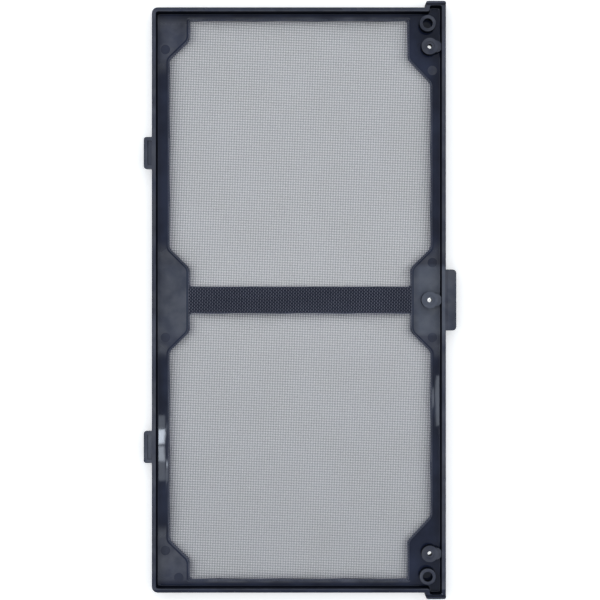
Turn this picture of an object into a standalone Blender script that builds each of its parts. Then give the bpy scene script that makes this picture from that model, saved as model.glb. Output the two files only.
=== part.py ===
"""Fan dust filter: a moulded tray with two screened windows, hooks, a pull tab and three magnets.

The tray lies on its flat outer face with its cavity up. X runs across the tray from the hooks
to the pull tab, Y runs along it, and the origin is under the middle of the whole outline.
Everything is in metres.
"""
import math

import bmesh
import bpy
from mathutils import Matrix, Vector

MM = 0.001

# Tray
TRAY_WIDTH = 141.2 * MM
TRAY_LENGTH = 281.0 * MM
TRAY_HEIGHT = 8.5 * MM
FLOOR = 2.0 * MM
WALL = 1.9 * MM
WALL_DRAFT = 0.3 * MM
CORNER_RADIUS = 2.8 * MM
INNER_RADIUS = 1.0 * MM
FLOOR_FILLET = 0.5 * MM
RIM_ROUNDING = 0.35 * MM
UNDERSIDE_ROUNDING = 0.5 * MM

# Ears at the tray's two right corners, each with a lip that stands above the rim
EAR_LENGTH = 9.7 * MM
EAR_PROJECTION = 2.9 * MM
EAR_RADIUS = 1.0 * MM
EAR_LIP = 1.4 * MM
EAR_LIP_RISE = 1.5 * MM

# Windows and the bar between them
LEFT_FLANGE = 8.0 * MM
RIGHT_FLANGE = 6.85 * MM
END_FLANGE = 5.4 * MM
BAR = 13.0 * MM
WINDOW_RADIUS = 1.5 * MM

# Corner gussets: width along X, straight leg and full reach along Y
LEFT_GUSSET = (9.8 * MM, 9.5 * MM, 19.0 * MM)
RIGHT_GUSSET = (11.15 * MM, 18.5 * MM, 30.4 * MM)
BAR_GUSSET = (9.7 * MM, 8.95 * MM, 18.55 * MM)

# Woven sheet in its rebate
SHEET_THICKNESS = 0.45 * MM
SHEET_WALL = 0.25 * MM
SHEET_MARGIN = 0.5 * MM
SEAT_GAP = 0.3 * MM
BEAD_WIDTH = 0.7 * MM
BEAD_HEIGHT = 0.35 * MM
GAPS_PER_WINDOW = 60
GAP_SHARE = 0.56
RIDGE_SHARE = 0.33
RIDGE_CREST_SHARE = 0.16
SHEET_BORDER = 0.6 * MM

# Hooks on the left wall
HOOK_REACH = 3.9 * MM
HOOK_WIDTH = 15.4 * MM
HOOK_THICKNESS = 3.0 * MM
HOOK_SPACING = 141.2 * MM
HOOK_LIP = 1.8 * MM
HOOK_RECESS_DEPTH = 1.1 * MM
HOOK_RADIUS = 1.3 * MM
HOOK_ROOT = 0.1 * MM

# Pull tab on the right wall
TAB_REACH = 5.0 * MM
TAB_WIDTH = 29.3 * MM
TAB_THICKNESS = 2.2 * MM
TAB_RADIUS = 1.7 * MM

# Magnet bosses along the right flange
MAGNET_RADIUS = 3.0 * MM
MAGNET_HEIGHT = 2.0 * MM
MAGNET_ROUNDING = 0.2 * MM
MAGNET_BOSS_RADIUS = 4.0 * MM
MAGNET_BOSS_RISE = 5.0 * MM
MAGNET_BOSS_INSET = 7.6 * MM
MAGNET_BOSS_END_INSET = 18.4 * MM
LOBE_RADIUS = 2.9 * MM
LOBE_BITE = 0.2 * MM
LOBE_DROP = 1.0 * MM
VENT_RADIUS = 1.1 * MM
DISH_RADIUS = 2.3 * MM
DISH_DEPTH = 0.4 * MM

# Locating sockets at the two right corners
SOCKET_RADIUS = 4.0 * MM
SOCKET_BORE_RADIUS = 2.4 * MM
SOCKET_BORE_RAISE = 0.2 * MM
SOCKET_DROP = 0.8 * MM
SOCKET_ROUNDING = 0.3 * MM
SOCKET_INSET = 8.65 * MM
SOCKET_END_INSET = 7.5 * MM

# Moulding marks on the floor
EJECTOR_RADIUS = 2.3 * MM
EJECTOR_DEPTH = 0.15 * MM
EJECTOR_SIDE_INSET = 6.0 * MM
EJECTOR_BAR_OFFSET = 18.1 * MM
EJECTOR_END_OFFSET = 19.3 * MM
EJECTOR_GUSSET_OFFSET = 29.4 * MM
EJECTOR_CORNER_INSET = (12.5 * MM, 6.2 * MM)
GATE_PIT_RADIUS = 0.5 * MM
GATE_PIT_DEPTH = 0.3 * MM
GATE_PIT_OFFSET = (-5.4 * MM, 1.5 * MM)

# Steps on round pieces, and how far a cutter runs past what it cuts
ROUND_STEPS = 40
FINE_STEPS = 24
CORNER_STEPS = 4
OVERRUN = 1.0 * MM
WELD = 0.001 * MM

# Angles over which a fold counts as an edge to round, or shades as a sharp one
ROUNDED_FOLD = math.radians(50)
SHARP_FOLD = math.radians(30)
UPRIGHT_SLOPE = 10
EVEN_ROUND = 0.5

# Places worked out from the sizes above
LEFT = HOOK_REACH - (HOOK_REACH + TRAY_WIDTH + TAB_REACH) / 2
RIGHT = LEFT + TRAY_WIDTH
END = TRAY_LENGTH / 2
WINDOW_LEFT = LEFT + LEFT_FLANGE
WINDOW_RIGHT = RIGHT - RIGHT_FLANGE
WINDOW_NEAR = BAR / 2
WINDOW_FAR = END - END_FLANGE
REBATE_MARGIN = SHEET_MARGIN + SEAT_GAP
REBATE_DEPTH = SHEET_THICKNESS + SEAT_GAP
MAGNET_X = RIGHT - MAGNET_BOSS_INSET
MAGNET_END_Y = END - MAGNET_BOSS_END_INSET
MAGNET_PLACES = {"magnet_upper": MAGNET_END_Y, "magnet_middle": 0.0, "magnet_lower": -MAGNET_END_Y}
SOCKET_X = RIGHT - SOCKET_INSET
SOCKET_Y = END - SOCKET_END_INSET


def clear_scene():
    """Remove every object that the file opens with."""
    for obj in list(bpy.data.objects):
        bpy.data.objects.remove(obj, do_unlink=True)


def principled_material(name, colour, roughness, metallic=0.0):
    """Return a Principled material with one colour, roughness and metallic value."""
    material = bpy.data.materials.new(name)
    material.use_nodes = True
    shader = material.node_tree.nodes["Principled BSDF"]
    shader.inputs["Base Color"].default_value = (*colour, 1.0)
    shader.inputs["Roughness"].default_value = roughness
    shader.inputs["Metallic"].default_value = metallic
    return material


def mesh_object(name, bm):
    """Turn a bmesh into an object of the scene."""
    bmesh.ops.recalc_face_normals(bm, faces=bm.faces)
    mesh = bpy.data.meshes.new(name)
    bm.to_mesh(mesh)
    bm.free()
    obj = bpy.data.objects.new(name, mesh)
    bpy.context.scene.collection.objects.link(obj)
    return obj


def offset_outline(points, distance):
    """Move every side of an anticlockwise outline outwards by a distance, with mitred corners."""
    moved = []
    for index, point in enumerate(points):
        before = (Vector(point) - Vector(points[index - 1])).normalized()
        after = (Vector(points[(index + 1) % len(points)]) - Vector(point)).normalized()
        out_before = Vector((before.y, -before.x))
        out_after = Vector((after.y, -after.x))
        mitre = (out_before + out_after) / (1.0 + out_before.dot(out_after))
        moved.append(tuple(Vector(point) + mitre * distance))
    return moved


def mirrored_in_y(points):
    """Return the outline flipped in Y, still anticlockwise."""
    return [(x, -y) for x, y in reversed(points)]


def prism_bmesh(low_points, high_points, low, high):
    """Return a closed body between two outlines with as many points, one above the other."""
    bm = bmesh.new()
    floor = [bm.verts.new((x, y, low)) for x, y in low_points]
    roof = [bm.verts.new((x, y, high)) for x, y in high_points]
    bm.faces.new(floor[::-1])
    bm.faces.new(roof)
    for index in range(len(floor)):
        after = (index + 1) % len(floor)
        bm.faces.new((floor[index], floor[after], roof[after], roof[index]))
    return bm


def round_uprights(bm, radius, wanted=lambda x, y: True):
    """Round the upright edges whose foot is wanted."""
    edges = []
    for edge in bm.edges:
        first, second = (vert.co for vert in edge.verts)
        rises = abs(first.z - second.z) > UPRIGHT_SLOPE * (first - second).xy.length
        if rises and wanted(first.x, first.y):
            edges.append(edge)
    bmesh.ops.bevel(bm, geom=edges, offset=radius, segments=CORNER_STEPS, affect="EDGES",
                    profile=EVEN_ROUND)


def round_level_edges(bm, height, radius, segments):
    """Round the sharp outward edges that lie at one height."""
    bmesh.ops.recalc_face_normals(bm, faces=bm.faces)
    edges = []
    for edge in bm.edges:
        level = all(abs(vert.co.z - height) < WELD for vert in edge.verts)
        if level and edge.is_convex and edge.calc_face_angle(0.0) > ROUNDED_FOLD:
            edges.append(edge)
    bmesh.ops.bevel(bm, geom=edges, offset=radius, segments=segments, affect="EDGES",
                    profile=EVEN_ROUND, clamp_overlap=True)


def box_outline(left, right, near, far):
    """Return the four corners of a rectangle, anticlockwise."""
    return [(left, near), (right, near), (right, far), (left, far)]


def turned_body(name, profile, x, y, steps):
    """Spin a profile of (radius, height) points that starts and ends on the axis."""
    bm = bmesh.new()
    verts = [bm.verts.new((radius, 0.0, height)) for radius, height in profile]
    edges = [bm.edges.new(pair) for pair in zip(verts, verts[1:])]
    bmesh.ops.spin(bm, geom=verts + edges, cent=(0, 0, 0), axis=(0, 0, 1),
                   angle=math.tau, steps=steps, use_merge=True)
    bmesh.ops.remove_doubles(bm, verts=bm.verts, dist=WELD)
    centres = [vert for vert in bm.verts if vert.co.xy.length < WELD]
    bmesh.ops.dissolve_verts(bm, verts=centres)
    bmesh.ops.translate(bm, verts=bm.verts, vec=(x, y, 0.0))
    return mesh_object(name, bm)


def drum(name, radius, low, high, x, y, steps=ROUND_STEPS):
    """Return a plain round body between two heights."""
    return turned_body(name, [(0.0, low), (radius, low), (radius, high), (0.0, high)], x, y, steps)


def weld(mesh):
    """Merge the points that a cut leaves on top of each other."""
    bm = bmesh.new()
    bm.from_mesh(mesh)
    bmesh.ops.remove_doubles(bm, verts=bm.verts, dist=WELD)
    bmesh.ops.dissolve_degenerate(bm, edges=bm.edges, dist=WELD)
    bm.to_mesh(mesh)
    bm.free()


def combine(target, others, operation):
    """Join bodies to a target or cut them from it, one after another."""
    for other in others:
        modifier = target.modifiers.new(other.name, "BOOLEAN")
        modifier.operation = operation
        modifier.solver = "EXACT"
        modifier.object = other
    bpy.context.view_layer.update()
    depsgraph = bpy.context.evaluated_depsgraph_get()
    mesh = bpy.data.meshes.new_from_object(target.evaluated_get(depsgraph))
    target.modifiers.clear()
    target.data = mesh
    weld(mesh)
    for other in others:
        bpy.data.objects.remove(other, do_unlink=True)


def tray_outline():
    """Return the outer outline of the tray with its two ears."""
    ear_left = RIGHT - EAR_LENGTH
    ear_end = END + EAR_PROJECTION
    return [(LEFT, -END), (ear_left, -END), (ear_left, -ear_end), (RIGHT, -ear_end),
            (RIGHT, ear_end), (ear_left, ear_end), (ear_left, END), (LEFT, END)]


def tray_block():
    """Return the tray's outer form as high as the ears' lips, solid, with rounded corners."""
    outline = tray_outline()
    bm = prism_bmesh(outline, outline, 0.0, TRAY_HEIGHT + EAR_LIP_RISE)
    round_uprights(bm, CORNER_RADIUS, lambda x, y: x < LEFT + WELD)
    round_uprights(bm, EAR_RADIUS, lambda x, y: abs(y) > END + EAR_PROJECTION - WELD)
    round_level_edges(bm, 0.0, UNDERSIDE_ROUNDING, 2)
    return mesh_object("filter_frame", bm)


def rim_cutter():
    """Return the body that takes the block down to the rim everywhere between the ears' lips."""
    end = END + EAR_PROJECTION - EAR_LIP
    outline = box_outline(LEFT - OVERRUN, RIGHT + OVERRUN, -end, end)
    bm = prism_bmesh(outline, outline, TRAY_HEIGHT, TRAY_HEIGHT + EAR_LIP_RISE + OVERRUN)
    return mesh_object("rim_cutter", bm)


def tray_cavity():
    """Return the cavity's body, drafted and filleted where it meets the floor."""
    foot = offset_outline(tray_outline(), -WALL - WALL_DRAFT)
    mouth = offset_outline(tray_outline(), -WALL)
    rise = OVERRUN / (TRAY_HEIGHT - FLOOR)
    over = [tuple(Vector(top).lerp(Vector(low), -rise)) for low, top in zip(foot, mouth)]
    bm = prism_bmesh(foot, over, FLOOR, TRAY_HEIGHT + OVERRUN)
    round_uprights(bm, INNER_RADIUS)
    round_level_edges(bm, FLOOR, FLOOR_FILLET, 2)
    return mesh_object("tray_cavity", bm)


def hook_blocks():
    """Return the two tongues on the left wall."""
    blocks = []
    for side in (1, -1):
        middle = side * HOOK_SPACING / 2
        outline = box_outline(LEFT - HOOK_REACH, LEFT + WALL / 2,
                              middle - HOOK_WIDTH / 2, middle + HOOK_WIDTH / 2)
        bm = prism_bmesh(outline, outline, TRAY_HEIGHT - HOOK_THICKNESS, TRAY_HEIGHT)
        round_uprights(bm, HOOK_RADIUS, lambda x, y: x < LEFT)
        blocks.append(mesh_object(f"hook_block_{side}", bm))
    return blocks


def hook_recesses():
    """Return the shallow recesses inside the hooks' raised lips."""
    recesses = []
    for side in (1, -1):
        middle = side * HOOK_SPACING / 2
        half = HOOK_WIDTH / 2 - HOOK_LIP
        outline = box_outline(LEFT - HOOK_REACH + HOOK_LIP, LEFT - HOOK_ROOT,
                              middle - half, middle + half)
        bm = prism_bmesh(outline, outline, TRAY_HEIGHT - HOOK_RECESS_DEPTH, TRAY_HEIGHT + OVERRUN)
        recesses.append(mesh_object(f"hook_recess_{side}", bm))
    return recesses


def pull_tab():
    """Return the finger tab on the right wall, level with the rim."""
    outline = box_outline(RIGHT - WALL / 2, RIGHT + TAB_REACH, -TAB_WIDTH / 2, TAB_WIDTH / 2)
    bm = prism_bmesh(outline, outline, TRAY_HEIGHT - TAB_THICKNESS, TRAY_HEIGHT)
    round_uprights(bm, TAB_RADIUS, lambda x, y: x > RIGHT)
    return mesh_object("pull_tab", bm)


def magnet_bosses():
    """Return the three magnet bosses, each with the lower lobe that ties it to the wall."""
    low = FLOOR / 2
    high = FLOOR + MAGNET_BOSS_RISE
    lobe_x = RIGHT - WALL - LOBE_RADIUS + LOBE_BITE
    bodies = []
    for name, y in MAGNET_PLACES.items():
        bodies.append(drum(f"{name}_boss", MAGNET_BOSS_RADIUS, low, high, MAGNET_X, y))
        bodies.append(drum(f"{name}_lobe", LOBE_RADIUS, low, high - LOBE_DROP, lobe_x, y, FINE_STEPS))
    return bodies


def magnet_pockets():
    """Return the pockets that open on the underside, with vents up to the dishes in the bosses."""
    pocket_top = SEAT_GAP + MAGNET_HEIGHT + SEAT_GAP
    pocket_radius = MAGNET_RADIUS + SEAT_GAP
    boss_top = FLOOR + MAGNET_BOSS_RISE
    dish = boss_top - DISH_DEPTH
    over = boss_top + OVERRUN
    profile = [(0.0, -OVERRUN), (pocket_radius, -OVERRUN), (pocket_radius, pocket_top),
               (VENT_RADIUS, pocket_top), (VENT_RADIUS, dish), (DISH_RADIUS, dish),
               (DISH_RADIUS, over), (0.0, over)]
    return [turned_body(f"{name}_pocket", profile, MAGNET_X, y, ROUND_STEPS)
            for name, y in MAGNET_PLACES.items()]


def locating_sockets():
    """Return the two tubular sockets with their blind bores, rounded at their mouths."""
    top = TRAY_HEIGHT - SOCKET_DROP
    bore_bottom = FLOOR + SOCKET_BORE_RAISE
    shoulder = SOCKET_RADIUS - SOCKET_ROUNDING
    eighth = math.tau / 8
    profile = [(0.0, FLOOR / 2), (SOCKET_RADIUS, FLOOR / 2), (SOCKET_RADIUS, top - SOCKET_ROUNDING),
               (shoulder + SOCKET_ROUNDING * math.cos(eighth),
                top - SOCKET_ROUNDING + SOCKET_ROUNDING * math.sin(eighth)),
               (shoulder, top), (SOCKET_BORE_RADIUS, top),
               (SOCKET_BORE_RADIUS, bore_bottom), (0.0, bore_bottom)]
    return [turned_body(f"socket_{side}", profile, SOCKET_X, side * SOCKET_Y, ROUND_STEPS)
            for side in (1, -1)]


def window_outline():
    """Return the upper window's outline, with its corners cut off by the gussets."""
    left, right, near, far = WINDOW_LEFT, WINDOW_RIGHT, WINDOW_NEAR, WINDOW_FAR
    bar_width, bar_leg, bar_reach = BAR_GUSSET
    left_width, left_leg, left_reach = LEFT_GUSSET
    right_width, right_leg, right_reach = RIGHT_GUSSET
    return [(left + bar_width, near), (right - bar_width, near),
            (right - bar_width, near + bar_leg), (right, near + bar_reach),
            (right, far - right_reach), (right - right_width, far - right_leg),
            (right - right_width, far), (left + left_width, far),
            (left + left_width, far - left_leg), (left, far - left_reach),
            (left, near + bar_reach), (left + bar_width, near + bar_leg)]


def sheet_outline():
    """Return the outline of both windows and the bar's middle as one, without a margin."""
    upper = window_outline()[2:]
    return upper + mirrored_in_y(upper)


def window_cutters():
    """Return the bodies of the two windows."""
    upper = window_outline()
    cutters = []
    for name, outline in (("window_upper", upper), ("window_lower", mirrored_in_y(upper))):
        bm = prism_bmesh(outline, outline, -OVERRUN, FLOOR + OVERRUN)
        round_uprights(bm, WINDOW_RADIUS)
        cutters.append(mesh_object(name, bm))
    return cutters


def sheet_plate(name, margin, low, high):
    """Return a plate of the sheet's outline grown by a margin, between two heights."""
    outline = offset_outline(sheet_outline(), margin)
    bm = prism_bmesh(outline, outline, low, high)
    round_uprights(bm, WINDOW_RADIUS)
    return mesh_object(name, bm)


def ejector_marks():
    """Return the shallow discs that the ejector pins leave, and the pit beside the upper boss."""
    left = LEFT + EJECTOR_SIDE_INSET
    right = RIGHT - EJECTOR_SIDE_INSET
    corner_x, corner_y = EJECTOR_CORNER_INSET
    places = [(left, END - EJECTOR_END_OFFSET), (left, -END + EJECTOR_END_OFFSET),
              (left, -EJECTOR_BAR_OFFSET), (right, EJECTOR_BAR_OFFSET), (right, -EJECTOR_BAR_OFFSET),
              (right, END - EJECTOR_GUSSET_OFFSET), (LEFT + corner_x, -END + corner_y)]
    marks = [drum(f"ejector_mark_{index}", EJECTOR_RADIUS, FLOOR - EJECTOR_DEPTH, FLOOR + EJECTOR_DEPTH,
                  x, y, FINE_STEPS)
             for index, (x, y) in enumerate(places)]
    pit_x, pit_y = GATE_PIT_OFFSET
    marks.append(drum("gate_pit", GATE_PIT_RADIUS, FLOOR - GATE_PIT_DEPTH, FLOOR + GATE_PIT_DEPTH,
                      MAGNET_X + pit_x, MAGNET_END_Y + pit_y, FINE_STEPS // 2))
    return marks


def build_frame(material):
    """Model the one-piece moulding: tray, gussets, bar, bosses, sockets, hooks and tab."""
    frame = tray_block()
    combine(frame, [rim_cutter()], "DIFFERENCE")
    combine(frame, hook_blocks() + [pull_tab()], "UNION")
    combine(frame, [tray_cavity()] + hook_recesses(), "DIFFERENCE")
    bead = sheet_plate("sheet_bead", REBATE_MARGIN + BEAD_WIDTH, FLOOR / 2, FLOOR + BEAD_HEIGHT)
    combine(frame, [bead] + magnet_bosses() + locating_sockets(), "UNION")
    rebate = sheet_plate("sheet_rebate", REBATE_MARGIN, FLOOR - REBATE_DEPTH, FLOOR + OVERRUN)
    combine(frame, window_cutters() + [rebate] + magnet_pockets() + ejector_marks(), "DIFFERENCE")
    bm = bmesh.new()
    bm.from_mesh(frame.data)
    for height in (TRAY_HEIGHT, TRAY_HEIGHT + EAR_LIP_RISE):
        round_level_edges(bm, height, RIM_ROUNDING, 2)
    bm.to_mesh(frame.data)
    bm.free()
    frame.data.materials.clear()
    frame.data.materials.append(material)
    return frame


def gusset_cut(distance, gusset):
    """Return how far a gusset stands into the window at a distance from its own end."""
    width, leg, reach = gusset
    return width * min(1.0, max(0.0, (reach - distance) / (reach - leg)))


def gap_ends(near, far):
    """Return the ends along X of a gap that lies between two heights of the upper window."""
    bar = max(gusset_cut(y - WINDOW_NEAR, BAR_GUSSET) for y in (near, far))
    left = max(gusset_cut(WINDOW_FAR - y, LEFT_GUSSET) for y in (near, far))
    right = max(gusset_cut(WINDOW_FAR - y, RIGHT_GUSSET) for y in (near, far))
    return (WINDOW_LEFT + max(bar, left) + SHEET_BORDER, WINDOW_RIGHT - max(bar, right) - SHEET_BORDER)


def ridged_wall():
    """Return the sheet's wall with a raised thread along every pitch, over its whole length."""
    pitch = (WINDOW_FAR - WINDOW_NEAR) / GAPS_PER_WINDOW
    low = FLOOR - SHEET_THICKNESS
    wall = low + SHEET_WALL
    crest = low + SHEET_THICKNESS
    foot = pitch * RIDGE_SHARE / 2
    top = pitch * RIDGE_CREST_SHARE / 2
    end = WINDOW_FAR + SHEET_MARGIN + OVERRUN
    profile = [(-end, low), (end, low), (end, wall)]
    bar_ridges = max(1, round(BAR / pitch))
    bar_pitch = BAR / bar_ridges
    upper = [WINDOW_FAR - index * pitch for index in range(GAPS_PER_WINDOW + 1)]
    middle = [BAR / 2 - index * bar_pitch for index in range(1, bar_ridges)]
    lower = [-y for y in reversed(upper)]
    for y in upper + middle + lower:
        profile += [(y + foot, wall), (y + top, crest), (y - top, crest), (y - foot, wall)]
    profile.append((-end, wall))
    left = WINDOW_LEFT - SHEET_MARGIN - OVERRUN
    right = WINDOW_RIGHT + SHEET_MARGIN + OVERRUN
    bm = bmesh.new()
    face = bm.faces.new([bm.verts.new((left, y, z)) for y, z in profile])
    pushed = bmesh.ops.extrude_face_region(bm, geom=[face])["geom"]
    verts = [item for item in pushed if isinstance(item, bmesh.types.BMVert)]
    bmesh.ops.translate(bm, verts=verts, vec=(right - left, 0.0, 0.0))
    return mesh_object("filter_mesh", bm)


def gap_cutters():
    """Return one body that holds every gap between the threads of both windows."""
    pitch = (WINDOW_FAR - WINDOW_NEAR) / GAPS_PER_WINDOW
    half = pitch * GAP_SHARE / 2
    low = FLOOR - SHEET_THICKNESS - OVERRUN
    bm = bmesh.new()
    for index in range(GAPS_PER_WINDOW):
        y = WINDOW_NEAR + (index + 0.5) * pitch
        left, right = gap_ends(y - half, y + half)
        for side in (1, -1):
            size = Matrix.Diagonal((right - left, 2 * half, 2 * OVERRUN + SHEET_THICKNESS, 1.0))
            place = Matrix.Translation(((left + right) / 2, side * y,
                                        low + OVERRUN + SHEET_THICKNESS / 2))
            bmesh.ops.create_cube(bm, size=1.0, matrix=place @ size)
    return mesh_object("thread_gaps", bm)


def build_sheet(material):
    """Model the woven sheet as threads raised from one wall, with the gaps between them."""
    sheet = ridged_wall()
    low = FLOOR - SHEET_THICKNESS - OVERRUN
    cut = sheet_plate("sheet_cut", SHEET_MARGIN, low, FLOOR + OVERRUN)
    combine(sheet, [cut], "INTERSECT")
    combine(sheet, [gap_cutters()], "DIFFERENCE")
    sheet.data.materials.clear()
    sheet.data.materials.append(material)
    return sheet


def build_magnet(name, y, material):
    """Model one disc magnet with rounded rims, seated in its pocket."""
    step = MAGNET_ROUNDING
    low, high = SEAT_GAP, SEAT_GAP + MAGNET_HEIGHT
    profile = [(0.0, low), (MAGNET_RADIUS - step, low), (MAGNET_RADIUS, low + step),
               (MAGNET_RADIUS, high - step), (MAGNET_RADIUS - step, high), (0.0, high)]
    magnet = turned_body(name, profile, 0.0, 0.0, FINE_STEPS)
    magnet.location = (MAGNET_X, y, 0.0)
    magnet.data.materials.append(material)
    magnet.data.shade_smooth()
    magnet.data.set_sharp_from_angle(angle=SHARP_FOLD)
    return magnet


def main():
    """Build the frame, the woven sheet and the magnets."""
    clear_scene()
    frame = build_frame(principled_material("frame_plastic", (0.055, 0.062, 0.078), 0.42))
    frame.data.shade_smooth()
    frame.data.set_sharp_from_angle(angle=SHARP_FOLD)
    build_sheet(principled_material("woven_nylon", (0.035, 0.038, 0.045), 0.55))
    nickel = principled_material("nickel_plate", (0.78, 0.77, 0.74), 0.22, 1.0)
    for name, y in MAGNET_PLACES.items():
        build_magnet(name, y, nickel)


main()
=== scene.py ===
"""Looks of the fan dust filter: its satin moulding, its woven nylon sheet and its nickel magnets.

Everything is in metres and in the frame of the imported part: X runs from the hooks to the pull tab,
Y runs along the tray, Z rises out of its cavity.
"""
import logging
import math
from dataclasses import dataclass, field
from enum import Enum
from typing import Callable, Iterator, List, Sequence, Tuple

import bpy
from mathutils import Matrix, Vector


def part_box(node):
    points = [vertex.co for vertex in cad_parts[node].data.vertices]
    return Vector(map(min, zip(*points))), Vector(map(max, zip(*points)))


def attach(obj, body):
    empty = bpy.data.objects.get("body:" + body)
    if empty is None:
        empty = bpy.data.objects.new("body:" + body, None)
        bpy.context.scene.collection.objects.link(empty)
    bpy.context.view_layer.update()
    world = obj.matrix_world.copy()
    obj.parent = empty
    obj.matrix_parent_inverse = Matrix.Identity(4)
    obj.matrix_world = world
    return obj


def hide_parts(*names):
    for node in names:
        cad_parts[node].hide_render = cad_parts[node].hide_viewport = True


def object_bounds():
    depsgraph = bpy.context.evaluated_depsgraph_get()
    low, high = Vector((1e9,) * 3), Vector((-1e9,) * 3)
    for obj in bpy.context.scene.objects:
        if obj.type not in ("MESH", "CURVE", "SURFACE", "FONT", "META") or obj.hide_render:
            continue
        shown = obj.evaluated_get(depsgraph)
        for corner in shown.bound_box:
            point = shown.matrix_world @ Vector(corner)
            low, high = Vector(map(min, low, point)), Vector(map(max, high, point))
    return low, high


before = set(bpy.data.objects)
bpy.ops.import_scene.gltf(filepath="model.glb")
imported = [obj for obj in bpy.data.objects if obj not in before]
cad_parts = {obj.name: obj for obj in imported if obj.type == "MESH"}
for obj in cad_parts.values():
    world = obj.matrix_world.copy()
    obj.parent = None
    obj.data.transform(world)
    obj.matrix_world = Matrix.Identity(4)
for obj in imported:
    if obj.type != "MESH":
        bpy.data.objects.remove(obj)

MM = 0.001
CAD_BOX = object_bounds()
WELD = 0.002 * MM
SOFT_FOLD = math.radians(32)
FLAT_WEIGHT = 100
LEVEL = 0.9999
SAME_PLANE = math.radians(0.5)
TINY = 1e-9
WHITE = (1.0, 1.0, 1.0)

Colour = Tuple[float, float, float]
Point = Tuple[float, float]
Span = Tuple[float, float]
Socket = bpy.types.NodeSocket

log = logging.getLogger("dust_filter")


class Slot(Enum):
    """The record's material slots."""

    MOULDING = "frame_plastic"
    NYLON = "woven_nylon"
    NICKEL = "nickel_plate"


class ThreadRun(Enum):
    """The two ways that threads run in the sheet."""

    LENGTHWISE = "lengthwise"
    CROSSWISE = "crosswise"


class Layers(Enum):
    """How many finer layers a noise has."""

    ONE = 1.0
    TWO = 2.0
    THREE = 3.0
    FOUR = 4.0


class Wiring:
    """A node tree being wired: a short way to add nodes, join them and reckon with their values.

    The Mix node has a row of sockets for each kind of value, and these say which ones carry colours
    and single values.
    """

    FIRST_VALUE = 2
    SECOND_VALUE = 3
    FIRST_COLOUR = 6
    SECOND_COLOUR = 7
    MIXED_VALUE = 0
    MIXED_COLOUR = 2

    def __init__(self, tree: bpy.types.NodeTree) -> None:
        """Keep the tree that the nodes are added to."""
        self.tree = tree

    def node(self, kind: str, **settings: object) -> bpy.types.Node:
        """Add a node.

        Args:
            kind: The node's type name.
            **settings: Its inputs' values by name, with underscores for spaces, or its properties.

        Returns:
            The new node.
        """
        made = self.tree.nodes.new(kind)
        for key, value in settings.items():
            label = key.replace("_", " ").title()
            if label in made.inputs:
                made.inputs[label].default_value = value
            else:
                setattr(made, key, value)
        return made

    def wire(self, source: Socket, sink: Socket) -> None:
        """Join an output to an input."""
        self.tree.links.new(source, sink)

    def blend(self, share: Socket, first: Colour | Socket, second: Colour) -> Socket:
        """Mix two colours by a value between 0 and 1.

        Args:
            share: How much of the second colour shows.
            first: The colour at 0, or a socket that carries it.
            second: The colour at 1.

        Returns:
            The mixed colour.
        """
        mix = self.node("ShaderNodeMix", data_type="RGBA")
        if isinstance(first, Socket):
            self.wire(first, mix.inputs[self.FIRST_COLOUR])
        else:
            mix.inputs[self.FIRST_COLOUR].default_value = (*first, 1.0)
        mix.inputs[self.SECOND_COLOUR].default_value = (*second, 1.0)
        self.wire(share, mix.inputs["Factor"])
        return mix.outputs[self.MIXED_COLOUR]

    def ramp(self, value: Socket, start: float, end: float,
             first: float = 0.0, last: float = 1.0) -> Socket:
        """Go from one result to another as a value goes from one bound to another, in either direction.

        Args:
            value: The value.
            start: The bound where the result is the first one.
            end: The bound where the result is the last one.
            first: The first result.
            last: The last result.

        Returns:
            The result.
        """
        ranged = self.node("ShaderNodeMapRange", From_Min=start, From_Max=end,
                           To_Min=first, To_Max=last)
        self.wire(value, ranged.inputs["Value"])
        return ranged.outputs["Result"]

    def reckon(self, operation: str, *values: Socket) -> Socket:
        """Reckon with one or two values.

        Args:
            operation: The Math node's operation.
            *values: The values.

        Returns:
            The result.
        """
        reckoned = self.node("ShaderNodeMath", operation=operation)
        for value, sink in zip(values, reckoned.inputs):
            self.wire(value, sink)
        return reckoned.outputs["Value"]

    def times(self, first: Socket, second: Socket) -> Socket:
        """Multiply two values."""
        return self.reckon("MULTIPLY", first, second)

    def larger(self, first: Socket, second: Socket) -> Socket:
        """Give the larger of two values."""
        return self.reckon("MAXIMUM", first, second)

    def smaller(self, first: Socket, second: Socket) -> Socket:
        """Give the smaller of two values."""
        return self.reckon("MINIMUM", first, second)

    def unsigned(self, value: Socket) -> Socket:
        """Give a value without its sign."""
        return self.reckon("ABSOLUTE", value)

    def split(self, vector: Socket) -> List[Socket]:
        """Take a vector apart.

        Args:
            vector: The vector.

        Returns:
            Its X, Y and Z.
        """
        parts = self.node("ShaderNodeSeparateXYZ")
        self.wire(vector, parts.inputs["Vector"])
        return list(parts.outputs)


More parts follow.
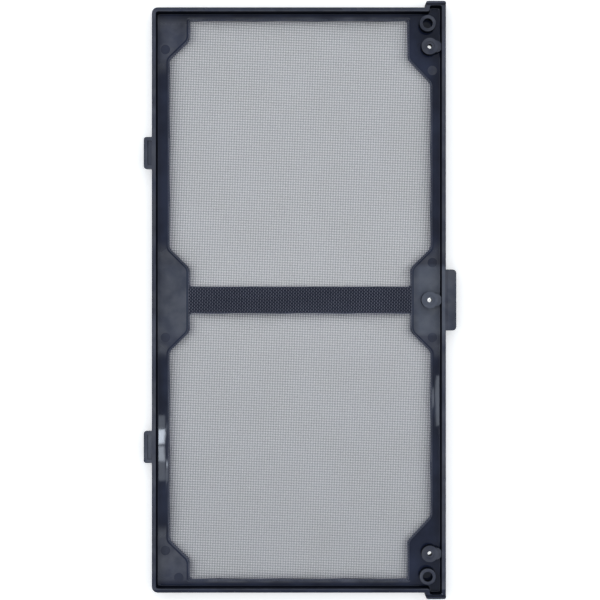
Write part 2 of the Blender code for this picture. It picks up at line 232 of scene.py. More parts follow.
class Recipe(Wiring):
    """A material being mixed. Most of a noise's values lie in the noise range."""

    NOISE_RANGE = (0.35, 0.65)

    def __init__(self, name: str) -> None:
        """Start a material with an empty Principled shader.

        Args:
            name: The material's name.
        """
        self.material = bpy.data.materials.new(name)
        self.material.use_nodes = True
        super().__init__(self.material.node_tree)
        self.shader = self.tree.nodes["Principled BSDF"]
        self.output = self.tree.nodes["Material Output"]

    def place(self, stretch: Sequence[float] = (1.0, 1.0, 1.0), turn: float = 0.0) -> Socket:
        """Give the object's own coordinates, stretched and turned about Z.

        Args:
            stretch: The scale along each axis.
            turn: The turn about Z in radians.

        Returns:
            The socket that carries the coordinates.
        """
        coordinates = self.node("ShaderNodeTexCoord")
        mapping = self.node("ShaderNodeMapping", Scale=stretch, Rotation=(0.0, 0.0, turn))
        self.wire(coordinates.outputs["Object"], mapping.inputs["Vector"])
        return mapping.outputs["Vector"]

    def cloud(self, where: Socket, size: float, layers: Layers = Layers.THREE) -> Socket:
        """Add soft noise whose patches are about a given size.

        Args:
            where: The coordinates.
            size: How wide a patch is, in metres.
            layers: How many finer layers it has.

        Returns:
            The noise's value, about 0.3 to 0.7.
        """
        noise = self.node("ShaderNodeTexNoise", Scale=1.0 / size, Detail=layers.value)
        self.wire(where, noise.inputs["Vector"])
        return noise.outputs["Fac"]

    def spread(self, value: Socket, low: float, high: float) -> Socket:
        """Stretch a noise's middle range to run between two values.

        Args:
            value: The noise.
            low: The result at the lower end of that range and below.
            high: The result at its upper end and above.

        Returns:
            The stretched value.
        """
        return self.ramp(value, *self.NOISE_RANGE, low, high)

    def relief(self, height: Socket, strength: float, depth: float) -> None:
        """Raise the surface by a height pattern.

        Args:
            height: The pattern.
            strength: How strongly it shows, 0 to 1.
            depth: Its depth in metres.
        """
        bump = self.node("ShaderNodeBump", Strength=strength, Distance=depth)
        self.wire(height, bump.inputs["Height"])
        if self.shader.inputs["Normal"].links:
            self.wire(self.shader.inputs["Normal"].links[0].from_socket, bump.inputs["Normal"])
        self.wire(bump.outputs["Normal"], self.shader.inputs["Normal"])


@dataclass(frozen=True)
class SatinMoulding:
    """Charcoal moulded plastic: satin, with polished floors, grained inner walls darkened by painted
    shade, a painted sheen on the middle gussets, hooks and tab, flow marks and sinks.
    """

    name: str = "satin_charcoal_moulding"
    dark: Colour = (0.008, 0.0118, 0.029)
    light: Colour = (0.019, 0.0255, 0.054)
    # Painted sheen: a paler colour laid on the middle gussets, the hooks' tongues and the tab.
    painted_sheen: Colour = (0.052, 0.063, 0.094)
    painted_sheen_side: Span = (55.6 * MM, 58.0 * MM)
    painted_sheen_shares: Span = (0.32, 0.95)
    painted_sheen_end: Span = (17.6 * MM, 15.6 * MM)
    tab_side: Span = (71.0 * MM, 71.2 * MM)
    tab_share: float = 0.27
    smooth: float = 0.28
    rough: float = 0.50
    polish: float = 0.02
    polish_specular: float = 0.19
    left_channel: Span = (-63.0 * MM, -65.0 * MM)
    right_channel: Span = (62.5 * MM, 65.0 * MM)
    channel_start: Span = (21.0 * MM, 29.0 * MM)
    left_end: Span = (116.0 * MM, 108.0 * MM)
    gusset_side: Span = (42.0 * MM, 46.0 * MM)
    gusset_end: Span = (84.0 * MM, 100.0 * MM)
    floor_under: Span = (2.30 * MM, 2.20 * MM)
    marks_over: Span = (1.83 * MM, 1.84 * MM)
    marks_under: Span = (1.90 * MM, 1.89 * MM)
    mark_share: float = 0.7
    end_channel: Span = (133.0 * MM, 137.5 * MM)
    hooks_over: Span = (7.36 * MM, 7.38 * MM)
    hooks_under: Span = (7.44 * MM, 7.42 * MM)
    bead_over: Span = (2.31 * MM, 2.33 * MM)
    bead_under: Span = (2.39 * MM, 2.37 * MM)
    bead_end: Span = (135.9 * MM, 135.4 * MM)
    end_rims: Span = (138.7 * MM, 139.2 * MM)
    lower_rim: Span = (-138.7 * MM, -139.2 * MM)
    lower_share: float = 0.85
    end_share: float = 0.45
    wall_slope: Span = (0.80, 0.45)
    inner_side: Span = (69.9 * MM, 69.4 * MM)
    inner_end: Span = (139.8 * MM, 139.3 * MM)
    ear_side: Span = (58.0 * MM, 59.0 * MM)
    ear_end: Span = (142.7 * MM, 142.4 * MM)
    # Painted shade: the near-black colour of the inner walls.
    painted_wall_shade: Colour = (0.0025, 0.0045, 0.011)
    wall_rough: float = 0.62
    wall_specular: float = 0.15
    specular: Span = (0.36, 0.64)
    mottle_size: float = 6 * MM
    tone_size: float = 15 * MM
    flow_size: float = 9 * MM
    flow_stretch: Tuple[float, float, float] = (1.0, 0.22, 1.0)
    grain_size: float = 0.35 * MM
    grain_depth: float = 0.012 * MM
    sink_size: float = 14 * MM
    sink_depth: float = 0.20 * MM
    sink_range: Span = (-0.5, 0.5)
    channel_sink: float = 0.06
    relief_share: float = 0.5

    def material(self) -> bpy.types.Material:
        """Mix the finish.

        Returns:
            Its material.
        """
        recipe = Recipe(self.name)
        own = recipe.place()
        wall = self.wall(recipe, own)
        colour = self.colour(recipe, own)
        # The inner walls take a painted shade colour.
        recipe.wire(recipe.blend(wall, colour, self.painted_wall_shade), recipe.shader.inputs["Base Color"])
        flow = recipe.cloud(recipe.place(self.flow_stretch), self.flow_size, Layers.FOUR)
        satin = recipe.spread(flow, self.smooth, self.rough)
        polished = self.polished(recipe, own)
        mix = recipe.node("ShaderNodeMix", data_type="FLOAT")
        recipe.wire(polished, mix.inputs["Factor"])
        recipe.wire(satin, mix.inputs[recipe.FIRST_VALUE])
        mix.inputs[recipe.SECOND_VALUE].default_value = self.polish
        grained = recipe.ramp(wall, 0.0, 1.0, 0.0, self.wall_rough)
        roughness = recipe.larger(mix.outputs[recipe.MIXED_VALUE], grained)
        recipe.wire(roughness, recipe.shader.inputs["Roughness"])
        mottled = recipe.spread(recipe.cloud(own, self.mottle_size, Layers.FOUR), *self.specular)
        brightest = max(self.specular)
        sheen = recipe.smaller(recipe.ramp(wall, 0.0, 1.0, brightest, self.wall_specular),
                               recipe.ramp(polished, 0.0, 1.0, brightest, self.polish_specular))
        recipe.wire(recipe.smaller(mottled, sheen), recipe.shader.inputs["Specular IOR Level"])
        level = recipe.ramp(self.channels(recipe, own), 0.0, 1.0, 1.0, self.channel_sink)
        sink = recipe.ramp(recipe.cloud(own, self.sink_size, Layers.ONE), 0.0, 1.0, *self.sink_range)
        recipe.relief(recipe.times(sink, level), self.relief_share, self.sink_depth)
        grain = recipe.cloud(own, self.grain_size, Layers.TWO)
        grain = recipe.times(grain, recipe.ramp(polished, 1.0, 0.0))
        recipe.relief(grain, self.relief_share, self.grain_depth)
        return recipe.material

    def toned(self, recipe: Recipe, own: Socket) -> Socket:
        """Mix the plain colour, a little uneven in tone.

        Args:
            recipe: The material being mixed.
            own: The object's own coordinates.

        Returns:
            The colour.
        """
        tone = recipe.spread(recipe.cloud(own, self.tone_size), 0.0, 1.0)
        return recipe.blend(tone, self.dark, self.light)

    def colour(self, recipe: Recipe, own: Socket) -> Socket:
        """Mix the plastic's colour, with a painted sheen that makes it paler on the middle gussets, the
        hooks' tongues and the tab.

        Args:
            recipe: The material being mixed.
            own: The object's own coordinates.

        Returns:
            The colour.
        """
        x, y, _ = recipe.split(own)
        width = recipe.unsigned(x)
        inside = recipe.times(recipe.ramp(x, *self.painted_sheen_side, *self.painted_sheen_shares),
                              recipe.ramp(width, *self.inner_side))
        gussets = recipe.times(inside, recipe.ramp(recipe.unsigned(y), *self.painted_sheen_end))
        outside = recipe.ramp(width, *self.tab_side, last=self.tab_share)
        # The paler colour blended in here is a painted sheen.
        return recipe.blend(recipe.larger(gussets, outside), self.toned(recipe, own), self.painted_sheen)

    def wall(self, recipe: Recipe, own: Socket) -> Socket:
        """Tell how upright a face inside the tray stands: there the colour turns to a painted shade,
        with a coarser grain and a lower specular level.

        Args:
            recipe: The material being mixed.
            own: The object's own coordinates.

        Returns:
            1 on an inner wall, 0 on a level face or outside.
        """
        *_, facing = recipe.split(recipe.node("ShaderNodeNewGeometry").outputs["Normal"])
        upright = recipe.ramp(recipe.unsigned(facing), *self.wall_slope)
        x, y, _ = recipe.split(own)
        length = recipe.unsigned(y)
        ears = recipe.times(recipe.ramp(x, *self.ear_side), recipe.ramp(length, *self.ear_end))
        inside = recipe.larger(ears, recipe.ramp(length, *self.inner_end))
        inside = recipe.times(inside, recipe.ramp(recipe.unsigned(x), *self.inner_side))
        return recipe.times(upright, inside)

    def channels(self, recipe: Recipe, own: Socket) -> Socket:
        """Tell where the floors of the side channels are, which are the flattest faces.

        Args:
            recipe: The material being mixed.
            own: The object's own coordinates.

        Returns:
            1 on those floors, 0 elsewhere.
        """
        x, y, z = recipe.split(own)
        length = recipe.unsigned(y)
        left = recipe.times(recipe.ramp(x, *self.left_channel), recipe.ramp(length, *self.left_end))
        both = recipe.larger(left, recipe.ramp(x, *self.right_channel))
        both = recipe.times(both, recipe.ramp(length, *self.channel_start))
        return recipe.times(both, recipe.ramp(z, *self.floor_under))

    def polished(self, recipe: Recipe, own: Socket) -> Socket:
        """Tell where the mould was polished.

        It was on the floors of the channels, the outer right gussets and the sides of the bead, and
        part of the way in the hooks' recesses and on the end rims. An ejector mark is the other way
        round from the face that it is in.

        Args:
            recipe: The material being mixed.
            own: The object's own coordinates.

        Returns:
            1 where it was, 0 where it wasn't.
        """
        x, y, z = recipe.split(own)
        length = recipe.unsigned(y)
        channels = self.channels(recipe, own)
        gussets = recipe.times(recipe.ramp(x, *self.gusset_side), recipe.ramp(length, *self.gusset_end))
        marks = recipe.times(recipe.ramp(z, *self.marks_over, last=self.mark_share),
                             recipe.ramp(z, *self.marks_under))
        flipped = recipe.reckon("SUBTRACT", recipe.larger(channels, gussets), marks)
        flipped = recipe.larger(recipe.unsigned(flipped), recipe.ramp(length, *self.end_channel))
        floor = recipe.times(flipped, recipe.ramp(z, *self.floor_under))
        hooks = recipe.times(recipe.ramp(z, *self.hooks_over, last=self.end_share),
                             recipe.ramp(z, *self.hooks_under))
        rims = recipe.larger(recipe.ramp(length, *self.end_rims, last=self.end_share),
                             recipe.ramp(y, *self.lower_rim, last=self.lower_share))
        bead = recipe.times(recipe.ramp(z, *self.bead_over), recipe.ramp(z, *self.bead_under))
        bead = recipe.times(bead, recipe.ramp(length, *self.bead_end))
        return recipe.larger(recipe.larger(floor, bead), recipe.larger(hooks, rims))


@dataclass(frozen=True)
class FlowedMoulding(SatinMoulding):
    """The same plastic where it flowed through the weave: glassy below its lip, with a painted
    highlight making the lip paler.
    """

    name: str = "flowed_charcoal_moulding"
    # Painted highlight: the lip's paler tones.
    dark: Colour = (0.038, 0.046, 0.075)
    light: Colour = (0.058, 0.068, 0.110)
    between: Colour = (0.006, 0.009, 0.021)
    glassy_under: Span = (1.97 * MM, 1.93 * MM)

    def colour(self, recipe: Recipe, own: Socket) -> Socket:
        """Mix the colour: the plastic's own dark colour between the threads, and a paler painted
        highlight on the lip.

        Args:
            recipe: The material being mixed.
            own: The object's own coordinates.

        Returns:
            The colour.
        """
        return recipe.blend(self.polished(recipe, own), self.toned(recipe, own), self.between)

    def polished(self, recipe: Recipe, own: Socket) -> Socket:
        """Tell how glassy the plastic is by its height.

        Args:
            recipe: The material being mixed.
            own: The object's own coordinates.

        Returns:
            1 between the threads, 0 on the lip.
        """
        *_, z = recipe.split(own)
        return recipe.ramp(z, *self.glassy_under)


@dataclass(frozen=True)
class NylonThread:
    """Dark nylon monofilament: smooth, a little uneven in tone along the sheet."""

    name: str = "dark_nylon_monofilament"
    dark: Colour = (0.073, 0.078, 0.114)
    light: Colour = (0.104, 0.111, 0.160)
    smooth: float = 0.26
    rough: float = 0.42
    tone_size: float = 22 * MM
    streak_size: float = 1.6 * MM

    def material(self) -> bpy.types.Material:
        """Mix the finish.

        Returns:
            Its material.
        """
        recipe = Recipe(self.name)
        own = recipe.place()
        tone = recipe.spread(recipe.cloud(own, self.tone_size), 0.0, 1.0)
        recipe.wire(recipe.blend(tone, self.dark, self.light), recipe.shader.inputs["Base Color"])
        streak = recipe.cloud(own, self.streak_size, Layers.TWO)
        recipe.wire(recipe.spread(streak, self.smooth, self.rough), recipe.shader.inputs["Roughness"])
        return recipe.material


@dataclass(frozen=True)
class NickelPlate:
    """Bright nickel plate with faint rubbing marks."""

    name: str = "bright_nickel_plate"
    bright: Colour = (0.94, 0.93, 0.91)
    dull: Colour = (0.84, 0.83, 0.81)
    smooth: float = 0.06
    rough: float = 0.12
    cloud_size: float = 1.4 * MM
    scratch_size: float = 0.5 * MM
    scratch_stretch: Tuple[float, float, float] = (0.12, 1.0, 1.0)
    scratch_turn: float = math.radians(35)

    def material(self) -> bpy.types.Material:
        """Mix the finish.

        Returns:
            Its material.
        """
        recipe = Recipe(self.name)
        own = recipe.place()
        patch = recipe.spread(recipe.cloud(own, self.cloud_size), 0.0, 1.0)
        recipe.wire(recipe.blend(patch, self.bright, self.dull), recipe.shader.inputs["Base Color"])
        rubbed = recipe.place(self.scratch_stretch, self.scratch_turn)
        rubbed = recipe.cloud(rubbed, self.scratch_size, Layers.FOUR)
        recipe.wire(recipe.spread(rubbed, self.smooth, self.rough), recipe.shader.inputs["Roughness"])
        recipe.shader.inputs["Metallic"].default_value = 1.0
        return recipe.material


@dataclass(frozen=True)
class WhiteTable:
    """The plain white surface that the filter lies on, lifted to white for the camera, with painted
    shade beneath the filter.
    """

    name: str = "white_table"
    colour: Colour = (0.93, 0.93, 0.93)
    lift: float = 0.36
    # Painted shade: the smaller lifts beneath the filter.
    painted_shade_lift: float = 0.15
    deepest_painted_shade_lift: float = 0.08
    lower_window: Span = (10 * MM, -125 * MM)
    soft_edge: float = 4 * MM
    rough: float = 0.9

    def material(self) -> bpy.types.Material:
        """Mix the finish.

        Returns:
            Its material.
        """
        recipe = Recipe(self.name)
        recipe.shader.inputs["Base Color"].default_value = (*self.colour, 1.0)
        recipe.shader.inputs["Roughness"].default_value = self.rough
        recipe.shader.inputs["Specular IOR Level"].default_value = 0.0
        path = recipe.node("ShaderNodeLightPath")
        seen = recipe.larger(path.outputs["Is Camera Ray"], path.outputs["Is Glossy Ray"])
        glow = recipe.node("ShaderNodeEmission")
        recipe.wire(recipe.times(seen, self.open_lift(recipe)), glow.inputs["Strength"])
        both = recipe.node("ShaderNodeAddShader")
        recipe.wire(recipe.shader.outputs["BSDF"], both.inputs[0])
        recipe.wire(glow.outputs["Emission"], both.inputs[1])
        recipe.wire(both.outputs["Shader"], recipe.output.inputs["Surface"])
        return recipe.material

    def open_lift(self, recipe: Recipe) -> Socket:
        """Lift the open table most and the part beneath the filter less as painted shade, and least at
        the lower end, where the painted shade is deepest.

        The change from one to the other lies under the frame.

        Args:
            recipe: The material being mixed.

        Returns:
            The lift.
        """
        low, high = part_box("filter_mesh")
        x, y, _ = recipe.split(recipe.place())
        right = recipe.ramp(x, high.x, high.x + self.soft_edge)
        left = recipe.ramp(x, low.x, low.x - self.soft_edge)
        end = recipe.ramp(recipe.unsigned(y), high.y, high.y + self.soft_edge)
        outside = recipe.larger(recipe.larger(left, right), end)
        # Painted shade beneath the filter, deepest towards the lower end.
        beneath = recipe.ramp(y, *self.lower_window, self.painted_shade_lift, self.deepest_painted_shade_lift)
        return recipe.larger(recipe.ramp(outside, 0.0, 1.0, 0.0, self.lift), beneath)


class Bench:
    """The operators that the pieces are made with, each on one object alone."""

    @staticmethod
    def take(piece: bpy.types.Object) -> None:
        """Select one object alone and make it active.

        Args:
            piece: The object.
        """
        bpy.ops.object.select_all(action="DESELECT")
        piece.select_set(True)
        bpy.context.view_layer.objects.active = piece

    @staticmethod
    def copy_of_node(node: str, name: str) -> bpy.types.Object:
        """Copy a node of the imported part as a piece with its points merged.

        Args:
            node: The node's name.
            name: The new piece's name.

        Returns:
            The merged copy.
        """
        piece = bpy.data.objects.new(name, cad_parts[node].data.copy())
        bpy.context.scene.collection.objects.link(piece)
        Bench.take(piece)
        bpy.ops.object.mode_set(mode="EDIT")
        bpy.ops.mesh.select_all(action="SELECT")
        bpy.ops.mesh.remove_doubles(threshold=WELD)
        bpy.ops.mesh.select_all(action="DESELECT")
        bpy.ops.object.mode_set(mode="OBJECT")
        bpy.ops.mesh.customdata_custom_splitnormals_clear()
        return piece

    @staticmethod
    def pick(piece: bpy.types.Object, wanted: Callable[[bpy.types.MeshPolygon], bool]) -> None:
        """Open a piece for editing with the wanted faces selected.

        Args:
            piece: The piece, already taken.
            wanted: Tells whether a face is wanted.
        """
        bpy.context.tool_settings.mesh_select_mode = (False, False, True)
        for face in piece.data.polygons:
            face.select = wanted(face)
        bpy.ops.object.mode_set(mode="EDIT")
        bpy.ops.mesh.select_mode(type="FACE")

    @staticmethod
    def close(piece: bpy.types.Object, sides: int) -> None:
        """Cap a piece's open ends and turn its faces outwards.

        Args:
            piece: The piece.
            sides: How many sides each open end has.
        """
        Bench.take(piece)
        bpy.ops.object.mode_set(mode="EDIT")
        bpy.ops.mesh.select_all(action="SELECT")
        bpy.ops.mesh.fill_holes(sides=sides)
        bpy.ops.mesh.select_all(action="SELECT")
        bpy.ops.mesh.normals_make_consistent(inside=False)
        bpy.ops.object.mode_set(mode="OBJECT")

    @staticmethod
    def smooth(piece: bpy.types.Object) -> None:
        """Shade a piece smooth across its gentle folds, with its broad faces kept flat.

        Args:
            piece: The piece.
        """
        Bench.take(piece)
        bpy.ops.object.shade_smooth_by_angle(angle=SOFT_FOLD)
        Bench.pick(piece, lambda face: abs(face.normal.z) > LEVEL)
        bpy.ops.mesh.mod_weighted_strength(set=True, face_strength="STRONG")
        bpy.ops.object.mode_set(mode="OBJECT")
        bpy.ops.object.modifier_add(type="WEIGHTED_NORMAL")
        weighting = piece.modifiers[-1]
        weighting.mode = "FACE_AREA"
        weighting.weight = FLAT_WEIGHT
        weighting.keep_sharp = True
        weighting.use_face_influence = True
        bpy.ops.object.modifier_apply(modifier=weighting.name)

    @staticmethod
    def finish(piece: bpy.types.Object, material: bpy.types.Material, slot: Slot) -> None:
        """Give a piece its material and its body.

        Args:
            piece: The finished piece.
            material: Its material.
            slot: The record's slot that the material stands for; not used.
        """
        piece.data.materials.clear()
        piece.data.materials.append(material)
        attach(piece, "root")


@dataclass
class Moulding:
    """The one-piece plastic frame."""

    finish: SatinMoulding = field(default_factory=SatinMoulding)

    def build(self) -> bpy.types.Object:
        """Copy the frame's solid, shade its rounded edges smooth and dress it.

        Returns:
            The frame.
        """
        piece = Bench.copy_of_node("filter_frame", "moulded_frame")
        Bench.smooth(piece)
        Bench.finish(piece, self.finish.material(), Slot.MOULDING)
        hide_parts("filter_frame")
        return piece


@dataclass
class FlowedEdge:
    """The plastic that flowed through the sheet over the bar and round the windows."""

    rebate_floor: float = 1.25 * MM
    rise: float = 0.75 * MM
    lip: float = 0.29 * MM
    step: float = 0.05 * MM
    drop: float = 0.08 * MM
    lift: float = 0.01 * MM
    finish: FlowedMoulding = field(default_factory=FlowedMoulding)

    def build(self) -> bpy.types.Object:
        """Raise the rebate's floor through the weave, with a smooth lip along its edges.

        Returns:
            The raised edge.
        """
        piece = Bench.copy_of_node("filter_frame", "flowed_edge")
        Bench.pick(piece, lambda face: not self.is_floor(face))
        bpy.ops.mesh.delete(type="FACE")
        bpy.ops.mesh.select_all(action="SELECT")
        bpy.ops.mesh.dissolve_limited(angle_limit=SAME_PLANE)
        bpy.ops.transform.translate(value=(0.0, 0.0, self.lift))
        rise = (0.0, 0.0, self.rise - self.lift)
        bpy.ops.mesh.extrude_region_move(TRANSFORM_OT_translate={"value": rise})
        bpy.ops.mesh.inset(thickness=self.lip)
        bpy.ops.mesh.inset(thickness=self.step, depth=-self.drop)
        bpy.ops.mesh.select_all(action="SELECT")
        bpy.ops.mesh.normals_make_consistent(inside=False)
        bpy.ops.mesh.select_all(action="DESELECT")
        bpy.ops.object.mode_set(mode="OBJECT")
        Bench.smooth(piece)
        Bench.finish(piece, self.finish.material(), Slot.MOULDING)
        return piece

    def is_floor(self, face: bpy.types.MeshPolygon) -> bool:
        """Tell whether a face of the frame belongs to the rebate's floor."""
        return abs(face.center.z - self.rebate_floor) <= WELD and face.normal.z >= LEVEL


@dataclass
class WovenSheet:
    """The nylon sheet, woven thread by thread and cut to the outline of its rebate."""

    pitch: float = 0.80 * MM
    thread: float = 0.142 * MM
    # Painted shade: threads made fatter near the frame and below the bar darken the sheet there.
    painted_shade_fattening: float = 1.2
    side_reach: float = 2.1 * MM
    end_reach: float = 1.4 * MM
    bar_clog: float = 1.3
    crimp: float = 0.085 * MM
    skew: float = math.radians(1.5)
    nearest: float = 0.15
    strips: int = 6
    slices: int = 200
    bar: float = 13.0 * MM
    left_gusset: Tuple[float, float, float] = (9.8 * MM, 9.5 * MM, 19.0 * MM)
    right_gusset: Tuple[float, float, float] = (11.15 * MM, 18.5 * MM, 30.4 * MM)
    bar_gusset: Tuple[float, float, float] = (9.7 * MM, 8.95 * MM, 18.55 * MM)
    corners: Tuple[Point, ...] = ((1.0, 1.0), (-1.0, 1.0), (-1.0, -1.0), (1.0, -1.0))
    finish: NylonThread = field(default_factory=NylonThread)

    def __post_init__(self) -> None:
        """Read the sheet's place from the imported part."""
        self.low, self.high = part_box("filter_mesh")
        self.middle = (self.low + self.high) / 2

    def outline(self) -> List[Point]:
        """Work out the sheet's outline.

        Returns:
            Its corners, anticlockwise, from the lower right end of the bar's waist.
        """
        right = self.high.x
        left = self.low.x
        end = self.high.y
        near = self.bar / 2
        bar_width, bar_leg, bar_reach = self.bar_gusset
        left_width, left_leg, left_reach = self.left_gusset
        right_width, right_leg, right_reach = self.right_gusset
        upper = [(right - bar_width, near + bar_leg), (right, near + bar_reach),
                 (right, end - right_reach), (right - right_width, end - right_leg),
                 (right - right_width, end), (left + left_width, end),
                 (left + left_width, end - left_leg), (left, end - left_reach),
                 (left, near + bar_reach), (left + bar_width, near + bar_leg)]
        return upper + [(x, -y) for x, y in reversed(upper)]

    def spans(self, start: Vector, along: Vector, near: float, far: float) -> List[Span]:
        """Find where a straight thread lies inside the outline and a strip.

        Args:
            start: A point of the thread.
            along: Its direction, of length 1.
            near: The strip's lower edge along Y.
            far: The strip's upper edge along Y.

        Returns:
            The distances from the point at which it enters and leaves, in pairs.
        """
        across = Vector((-along.y, along.x))
        corners = self.outline()
        cuts = []
        for (ax, ay), (bx, by) in zip(corners, corners[1:] + corners[:1]):
            a = Vector((ax, ay)) - start
            b = Vector((bx, by)) - start
            side_a = a.dot(across)
            side_b = b.dot(across)
            if (side_a < 0.0) != (side_b < 0.0):
                share = side_a / (side_a - side_b)
                cuts.append(a.lerp(b, share).dot(along))
        cuts.sort()
        lower, upper = sorted((edge - start.y) / along.y if abs(along.y) > TINY else math.inf
                              for edge in (near, far))
        inside = [(max(first, lower), min(last, upper)) for first, last in zip(cuts[::2], cuts[1::2])]
        return [(first, last) for first, last in inside if last - first > self.thread]

    def height(self, step: float, number: int, run: ThreadRun) -> float:
        """Give the height of a thread's centre.

        Args:
            step: The distance along the thread in crossings, not always whole.
            number: The thread's own number.
            run: The way it runs.

        Returns:
            Its height above the table.
        """
        before = math.floor(step)
        sign = 1.0 if run is ThreadRun.LENGTHWISE else -1.0
        swing = [sign * (1.0 if (place + number) % 2 == 0 else -1.0) for place in (before, before + 1)]
        share = step - before
        return self.middle.z + self.crimp * (swing[0] * (1.0 - share) + swing[1] * share)

    def threads(self, run: ThreadRun) -> Iterator[Tuple[int, Vector, Vector]]:
        """Give each thread's number, starting point and direction.

        Args:
            run: The way the threads run.

        Yields:
            The number, a point of the thread and its direction.
        """
        weft = Vector((math.cos(self.skew), math.sin(self.skew)))
        warp = Vector((-weft.y, weft.x))
        along, across = (warp, weft) if run is ThreadRun.LENGTHWISE else (weft, warp)
        reach = (self.high - self.low).xy.length
        count = math.ceil(reach / 2 / self.pitch)
        centre = self.middle.xy
        for number in range(-count, count + 1):
            yield number, centre + across * (number * self.pitch), along

    def add_thread(self, curve: bpy.types.Curve, number: int, start: Vector, along: Vector,
                   span: Span, run: ThreadRun) -> None:
        """Add one thread to a curve, with a point at each crossing that isn't too near its ends.

        Args:
            curve: The curve that gathers the strip's threads.
            number: The thread's number.
            start: A point of the thread.
            along: Its direction.
            span: Where it begins and ends, as distances from the point.
            run: The way it runs.
        """
        first, last = (edge / self.pitch for edge in span)
        steps = [step for step in range(math.ceil(first), math.floor(last) + 1)
                 if step - first > self.nearest and last - step > self.nearest]
        steps = [first, *steps, last]
        flat = []
        fat = []
        for step in steps:
            place = start + along * (step * self.pitch)
            flat += [place.x, place.y, self.height(step, number, run), 1.0]
            fat.append(self.fatness(place, run))
        spline = curve.splines.new("POLY")
        spline.points.add(len(steps) - 1)
        spline.points.foreach_set("co", flat)
        spline.points.foreach_set("radius", fat)

    def fatness(self, place: Vector, run: ThreadRun) -> float:
        """Tell how much fatter a thread is: on the bar where plastic has crept along it, and near the
        frame and below the bar, where the fatter threads paint shade on the sheet.

        Args:
            place: A point of the thread.
            run: The way it runs.

        Returns:
            1 far from the moulding, and more beside it.
        """
        if abs(place.y) < self.bar / 2:
            return 1.0 + self.bar_clog if run is ThreadRun.LENGTHWISE else 1.0
        # Off the bar, the extra fatness is painted shade: near the frame, and below the bar where its
        # shadow falls.
        left, right = self.row_cuts(place.y)
        beside = max(0.0, min(place.x - left, right - place.x)) / self.side_reach
        end = max(0.0, self.high.y - abs(place.y)) / self.end_reach
        if place.y < 0.0:
            end = min(end, (-place.y - self.bar / 2) / self.end_reach)
        return 1.0 + self.painted_shade_fattening * math.exp(-min(beside, end))

    def section(self) -> bpy.types.Object:
        """Make the thread's square section as a closed curve.

        Returns:
            The section.
        """
        curve = bpy.data.curves.new("thread_section", "CURVE")
        half = self.thread / 2
        spline = curve.splines.new("POLY")
        spline.points.add(len(self.corners) - 1)
        for point, (x, y) in zip(spline.points, self.corners):
            point.co = (x * half, y * half, 0.0, 1.0)
        spline.use_cyclic_u = True
        section = bpy.data.objects.new("thread_section", curve)
        bpy.context.scene.collection.objects.link(section)
        return section

    def row_cuts(self, y: float) -> Span:
        """Give the outline's left and right ends at a place along Y.

        Args:
            y: The place.

        Returns:
            Both ends along X.
        """
        bar_width, bar_leg, bar_reach = self.bar_gusset
        beside_bar = bar_width * self.share_cut(abs(y) - self.bar / 2, bar_leg, bar_reach)
        ends = []
        for width, leg, reach in (self.left_gusset, self.right_gusset):
            ends.append(max(beside_bar, width * self.share_cut(self.high.y - abs(y), leg, reach)))
        return self.low.x + ends[0], self.high.x - ends[1]

    @staticmethod
    def share_cut(distance: float, leg: float, reach: float) -> float:
        """Tell how much of a gusset's width stands in the way at a distance from its own end."""
        return min(1.0, max(0.0, (reach - distance) / (reach - leg)))

    def build(self) -> List[bpy.types.Object]:
        """Weave the sheet in strips, each a piece of its own.

        Returns:
            The strips, from the lower end to the upper one.
        """
        material = self.finish.material()
        section = self.section()
        length = (self.high.y - self.low.y) / self.strips
        pieces = []
        for index in range(self.strips):
            near = self.low.y + index * length
            far = near + length
            piece = self.weave(f"woven_strip_{index + 1}", section, near, far)
            Bench.finish(piece, material, Slot.NYLON)
            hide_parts("filter_mesh")
            pieces.append(piece)
        bpy.data.objects.remove(section)
        return pieces

    def weave(self, name: str, section: bpy.types.Object, near: float, far: float) -> bpy.types.Object:
        """Weave the threads of one strip.

        Args:
            name: The strip's name.
            section: The threads' section.
            near: The strip's lower edge along Y.
            far: The strip's upper edge along Y.

        Returns:
            The woven strip.
        """
        curve = bpy.data.curves.new(name, "CURVE")
        curve.dimensions = "3D"
        curve.twist_mode = "Z_UP"
        curve.bevel_mode = "OBJECT"
        curve.bevel_object = section
        for run in ThreadRun:
            for number, start, along in self.threads(run):
                for span in self.spans(start, along, near, far):
                    self.add_thread(curve, number, start, along, span, run)
        piece = bpy.data.objects.new(name, curve)
        bpy.context.scene.collection.objects.link(piece)
        Bench.take(piece)
        bpy.ops.object.convert(target="MESH")
        Bench.close(piece, len(self.corners))
        bpy.ops.object.shade_smooth()
        return piece


@dataclass
class Magnets:
    """The three disc magnets in the bosses."""

    nodes: Tuple[str, ...] = ("magnet_upper", "magnet_middle", "magnet_lower")
    land: float = 1.65 * MM
    dish_rings: Tuple[Span, ...] = (
        (0.35 * MM, 0.045 * MM), (0.35 * MM, 0.030 * MM), (0.30 * MM, 0.012 * MM))
    finish: NickelPlate = field(default_factory=NickelPlate)

    def build(self) -> List[bpy.types.Object]:
        """Dish the face of each magnet that its vent shows, shade its rim smooth and plate it.

        Returns:
            The three magnets.
        """
        material = self.finish.material()
        pieces = []
        for node in self.nodes:
            piece = Bench.copy_of_node(node, f"plated_{node}")
            Bench.pick(piece, lambda face: face.normal.z > LEVEL)
            bpy.ops.mesh.dissolve_faces()
            bpy.ops.mesh.inset(thickness=self.land)
            for width, depth in self.dish_rings:
                bpy.ops.mesh.inset(thickness=width, depth=-depth)
            bpy.ops.mesh.select_all(action="DESELECT")
            bpy.ops.object.mode_set(mode="OBJECT")
            Bench.smooth(piece)
            Bench.finish(piece, material, Slot.NICKEL)
            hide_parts(node)
            pieces.append(piece)
        return pieces


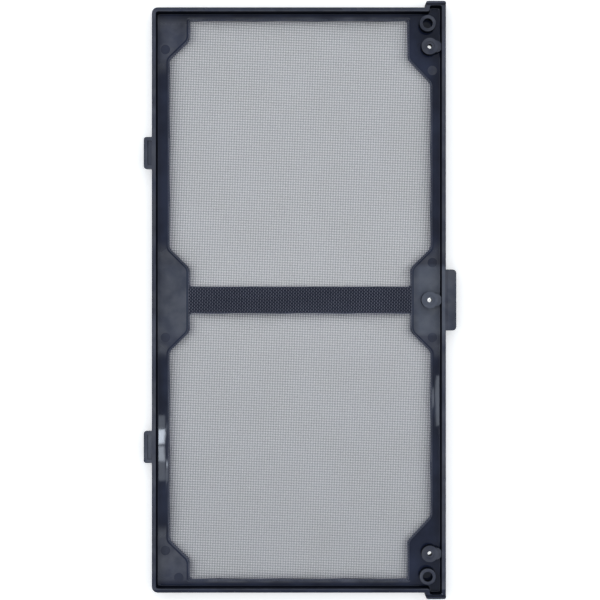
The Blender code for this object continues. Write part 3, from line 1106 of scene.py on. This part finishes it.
@dataclass(frozen=True)
class Lamp:
    """A soft rectangular lamp that shines straight down."""

    name: str
    place: Tuple[float, float, float]
    size: Tuple[float, float]
    power: float
    tint: Colour = (0.80, 0.88, 1.0)

    def hang(self) -> None:
        """Add the lamp to the scene."""
        light = bpy.data.lights.new(self.name, "AREA")
        light.shape = "RECTANGLE"
        light.size, light.size_y = self.size
        light.energy = self.power
        light.color = self.tint
        lamp = bpy.data.objects.new(self.name, light)
        lamp.location = self.place
        bpy.context.scene.collection.objects.link(lamp)


@dataclass
class Studio:
    """The white table, the sky, the lamps and the camera straight above."""

    table_size: float = 4.0
    table_drop: float = 0.2 * MM
    rim: float = 8.5 * MM
    camera_height: float = 0.80
    camera_reach: float = 20.0
    frame_width: float = 288 * MM
    sensor: float = 36.0
    sky_lean: Tuple[float, float, float] = (-0.03, 0.18, 0.98)
    sky_tint: Colour = (0.93, 0.965, 1.0)
    sky_rise: Span = (0.45, 0.88)
    sky_levels: Span = (0.07, 1.65)
    crown_edge: Span = (0.958, 0.980)
    crown_share: float = 0.55
    overhead: Tuple[float, float, float] = (0.0, 0.0, 1.0)
    lamps: Tuple[Lamp, ...] = (
        Lamp("left_upper_pane", (-0.3026, -0.2375, 2.1), (0.135, 0.0255), 0.386),
        Lamp("left_lower_pane", (-0.3026, -0.2680, 2.1), (0.135, 0.0252), 0.158),
        Lamp("left_glow", (-0.3141, -0.2668, 2.2), (0.1417, 0.1154), 0.300),
        Lamp("right_lamp", (0.268, -0.176, 2.1), (0.064, 0.085), 0.126))
    table: WhiteTable = field(default_factory=WhiteTable)

    def build(self) -> None:
        """Set up the table, the sky, the lamps and the camera."""
        self.lay_table()
        self.light_sky()
        for lamp in self.lamps:
            lamp.hang()
        self.aim_camera()

    def lay_table(self) -> None:
        """Lay the table just under the filter."""
        bpy.ops.object.select_all(action="DESELECT")
        (*_, ground), _ = CAD_BOX
        place = (0.0, 0.0, ground - self.table_drop)
        bpy.ops.mesh.primitive_plane_add(size=self.table_size, location=place)
        table = bpy.context.object
        table.name = "white_table"
        table.data.materials.append(self.table.material())

    def light_sky(self) -> None:
        """Give the room a pale sky that is dark near the ground and round the camera.

        The camera itself sees it as white.
        """
        world = bpy.data.worlds.new("pale_room")
        world.use_nodes = True
        bpy.context.scene.world = world
        wiring = Wiring(world.node_tree)
        fade = self.sky_part(wiring, self.sky_lean, self.sky_rise, self.sky_levels)
        crown = self.sky_part(wiring, self.overhead, self.crown_edge, (1.0, self.crown_share))
        tinted = wiring.node("ShaderNodeVectorMath", operation="SCALE")
        tinted.inputs[0].default_value = self.sky_tint
        wiring.wire(wiring.times(fade, crown), tinted.inputs["Scale"])
        camera = wiring.node("ShaderNodeLightPath").outputs["Is Camera Ray"]
        seen = wiring.blend(camera, tinted.outputs["Vector"], WHITE)
        wiring.wire(seen, world.node_tree.nodes["Background"].inputs["Color"])

    @staticmethod
    def sky_part(wiring: Wiring, centre: Sequence[float], edge: Span, levels: Span) -> Socket:
        """Make a level that changes softly with the distance from a point of the sky.

        Args:
            wiring: The sky's nodes.
            centre: The point's direction.
            edge: The cosines between which the level changes.
            levels: The level outside and inside.

        Returns:
            The level.
        """
        direction = wiring.node("ShaderNodeTexCoord").outputs["Generated"]
        towards = wiring.node("ShaderNodeVectorMath", operation="DOT_PRODUCT")
        towards.inputs[1].default_value = centre
        wiring.wire(direction, towards.inputs[0])
        level = wiring.ramp(towards.outputs["Value"], *edge, *levels)
        level.node.interpolation_type = "SMOOTHSTEP"
        return level

    def aim_camera(self) -> None:
        """Look straight down from the photograph's distance."""
        lens = bpy.data.cameras.new("overhead_camera")
        lens.sensor_width = self.sensor
        lens.lens = self.sensor * self.camera_height / self.frame_width
        lens.clip_end = self.camera_reach
        camera = bpy.data.objects.new("overhead_camera", lens)
        camera.location = (0.0, 0.0, self.rim + self.camera_height)
        bpy.context.scene.collection.objects.link(camera)
        bpy.context.scene.camera = camera


def main() -> None:
    """Build the filter's pieces in order, set up the studio and log each piece's face count."""
    logging.basicConfig(level=logging.INFO, format="%(name)s: %(message)s")
    bpy.context.scene.view_settings.view_transform = "Standard"
    made = [Moulding().build(), FlowedEdge().build()]
    made += WovenSheet().build()
    made += Magnets().build()
    Studio().build()
    for piece in made:
        log.info("%s has %d faces", piece.name, len(piece.data.polygons))


if __name__ == "__main__":
    main()
